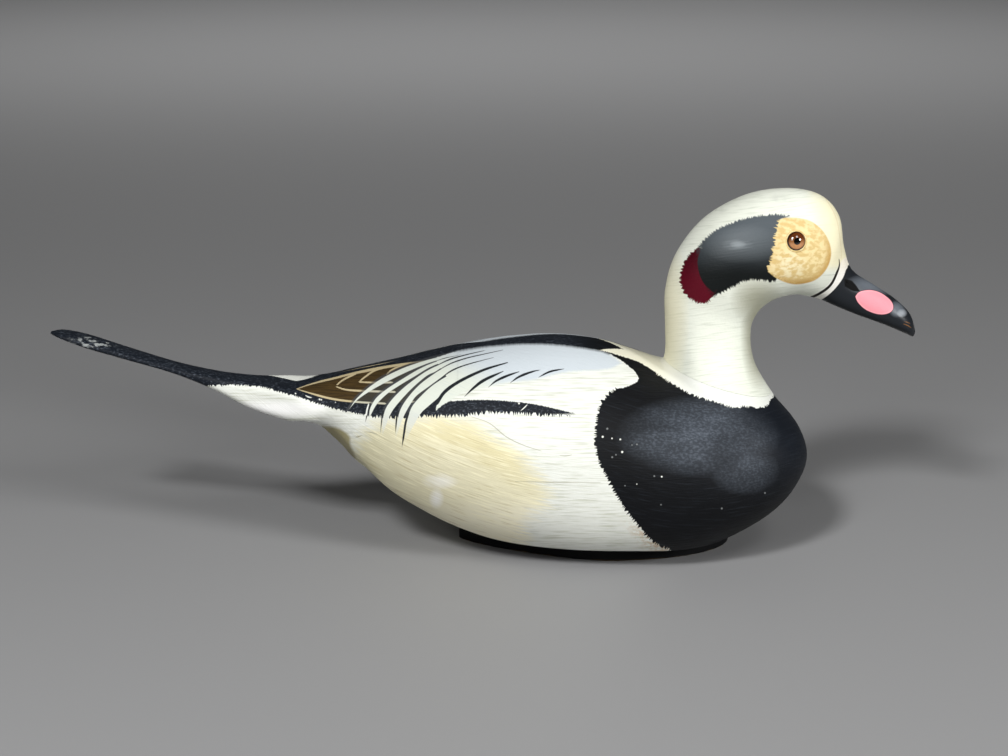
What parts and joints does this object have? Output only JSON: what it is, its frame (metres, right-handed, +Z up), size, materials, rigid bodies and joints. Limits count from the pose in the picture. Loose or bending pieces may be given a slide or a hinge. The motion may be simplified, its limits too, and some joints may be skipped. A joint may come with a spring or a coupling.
{
  "type": "decorative duck decoy",
  "caption": "Carved and painted wooden decoy of a long-tailed duck drake with a slender upswept tail, curved neck, glass eyes and a low keel under its flat bottom.",
  "frame": {"origin": "centre of the bounding box in plan, at the height of the flat face of the keel", "axes": "+X towards the bill along the length, +Y towards the bird's left side across the width, +Z up from the underside"},
  "size_m": [0.5176, 0.1514, 0.2173],
  "materials": {
    "painted_body": "satin oil paint in off-white, cream, black, pale grey and brown over carved softwood",
    "painted_tail": "satin black and white oil paint, scuffed along the sprig",
    "painted_head": "satin off-white, charcoal, maroon and buff oil paint with a black and pink bill",
    "painted_keel": "flat black paint, rubbed at the lower edges",
    "eye_glass": "polished amber-brown glass with a black pupil"
  },
  "bodies": {
    "root": {"body": "painted_body", "tail": "painted_tail", "head_and_neck": "painted_head", "keel": "painted_keel", "eye_right": "eye_glass", "eye_left": "eye_glass"}
  },
  "joints": []
}
